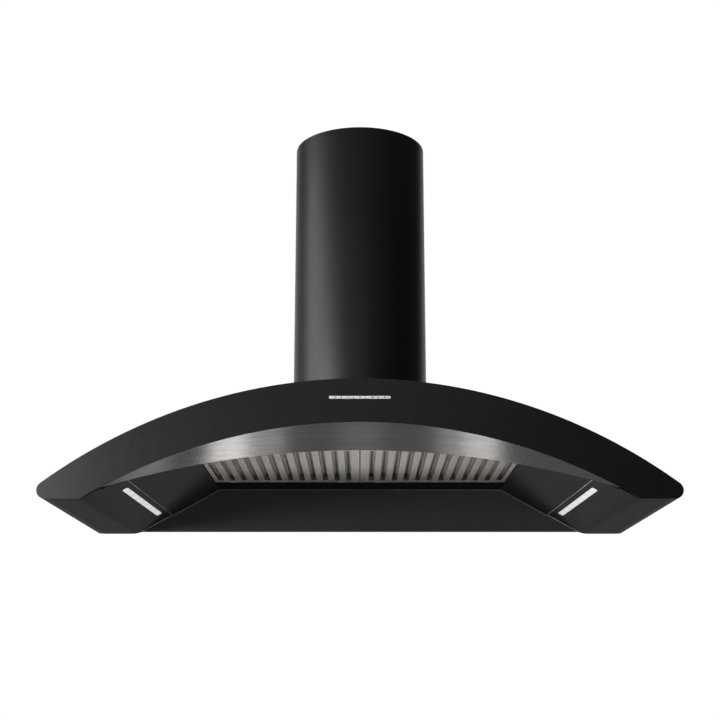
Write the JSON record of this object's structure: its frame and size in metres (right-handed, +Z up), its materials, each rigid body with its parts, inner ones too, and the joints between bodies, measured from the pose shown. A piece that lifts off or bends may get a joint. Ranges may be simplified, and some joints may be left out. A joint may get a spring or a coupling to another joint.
{
  "type": "range hood",
  "caption": "Wall-hung range hood with an arched black canopy, steel lip, baffle filters, strip lamps, push buttons and a round-fronted telescopic chimney.",
  "frame": {"origin": "middle of the four wall screws, on the wall plane; the canopy's lower rim is 155 mm below it", "axes": "+X along the wall to the cook's right, +Y into the wall, +Z up; the front looks to -Y"},
  "size_m": [1.2, 0.551, 0.86],
  "materials": {
    "black_enamel": "satin",
    "black_inner": "satin",
    "brushed_steel": "brushed",
    "filter_steel": "satin",
    "lamp_opal": "frosted",
    "button_silver": "metallised",
    "zinc_sheet": "galvanised",
    "aluminium_sheet": "mill",
    "black_plastic": "matt",
    "motor_paint": "painted",
    "circuit_board": "matt",
    "bright_steel": "bright",
    "cable_jacket": "matt"
  },
  "bodies": {
    "hood": {"canopy_shell": "black_enamel", "front_fascia": "black_enamel", "chimney_cover": "black_enamel", "left_light_panel": "black_inner", "right_light_panel": "black_inner", "left_inner_panel": "black_inner", "right_inner_panel": "black_inner", "splash_panel": "black_inner", "rear_gutter": "black_inner", "front_rail": "black_inner", "steel_lip": "brushed_steel", "left_lamp_lens": "lamp_opal", "right_lamp_lens": "lamp_opal", "back_panel": "zinc_sheet", "blower_box": "zinc_sheet", "blower_scroll": "zinc_sheet", "duct_collar": "zinc_sheet", "chimney_bracket": "zinc_sheet", "motor_bracket": "zinc_sheet", "capacitor_clip": "zinc_sheet", "left_lamp_housing": "aluminium_sheet", "right_lamp_housing": "aluminium_sheet", "capacitor": "aluminium_sheet", "switch_housing": "black_plastic", "control_box": "black_plastic", "cable_gland": "black_plastic", "motor": "motor_paint", "left_led_board": "circuit_board", "right_led_board": "circuit_board", "switch_board": "circuit_board", "motor_screws": "bright_steel", "collar_screws": "bright_steel", "damper_spindle": "bright_steel", "filter_catches": "bright_steel", "filter_hinge_rod": "bright_steel", "switch_cable": "cable_jacket"},
    "left_filter": {"left_filter_frame": "filter_steel", "left_lower_baffles": "filter_steel", "left_upper_baffles": "filter_steel", "left_filter_pull": "filter_steel"},
    "right_filter": {"right_filter_frame": "filter_steel", "right_lower_baffles": "filter_steel", "right_upper_baffles": "filter_steel", "right_filter_pull": "filter_steel"},
    "button_power": {"button_power": "button_silver"},
    "button_low": {"button_low": "button_silver"},
    "button_medium": {"button_medium": "button_silver"},
    "button_high": {"button_high": "button_silver"},
    "button_light": {"button_light": "button_silver"},
    "rotor": {"impeller": "black_plastic", "motor_shaft": "bright_steel"},
    "front_flap": {"damper_flap_front": "aluminium_sheet"},
    "rear_flap": {"damper_flap_rear": "aluminium_sheet"},
    "extension": {"chimney_extension": "black_enamel"}
  },
  "joints": [
    {"name": "power_button_press", "type": "slide", "parent": "hood", "child": "button_power", "axis": [0, 1, 0], "range_m": [0, 0.002], "stiffness_N_per_m": 500, "springref_m": -0.001},
    {"name": "low_button_press", "type": "slide", "parent": "hood", "child": "button_low", "axis": [0, 1, 0], "range_m": [0, 0.002], "stiffness_N_per_m": 500, "springref_m": -0.001},
    {"name": "medium_button_press", "type": "slide", "parent": "hood", "child": "button_medium", "axis": [0, 1, 0], "range_m": [0, 0.002], "stiffness_N_per_m": 500, "springref_m": -0.001},
    {"name": "high_button_press", "type": "slide", "parent": "hood", "child": "button_high", "axis": [0, 1, 0], "range_m": [0, 0.002], "stiffness_N_per_m": 500, "springref_m": -0.001},
    {"name": "light_button_press", "type": "slide", "parent": "hood", "child": "button_light", "axis": [0, 1, 0], "range_m": [0, 0.002], "stiffness_N_per_m": 500, "springref_m": -0.001},
    {"name": "left_filter_drop", "type": "hinge", "parent": "hood", "child": "left_filter", "pos_m": [-0.16, -0.096, -0.0484], "axis": [1, 0, 0], "range_deg": [0, 70]},
    {"name": "right_filter_drop", "type": "hinge", "parent": "hood", "child": "right_filter", "pos_m": [0.16, -0.096, -0.0484], "axis": [1, 0, 0], "range_deg": [0, 70]},
    {"name": "rotor_spin", "type": "hinge", "parent": "hood", "child": "rotor", "pos_m": [0, -0.15, 0.095], "axis": [1, 0, 0], "continuous": true},
    {"name": "front_flap_swing", "type": "hinge", "parent": "hood", "child": "front_flap", "pos_m": [0, -0.15, 0.237], "axis": [-1, 0, 0], "range_deg": [0, 80]},
    {"name": "rear_flap_swing", "type": "hinge", "parent": "hood", "child": "rear_flap", "pos_m": [0, -0.15, 0.237], "axis": [1, 0, 0], "range_deg": [0, 80]},
    {"name": "extension_slide", "type": "slide", "parent": "hood", "child": "extension", "axis": [0, 0, 1], "range_m": [0, 0.35]}
  ]
}
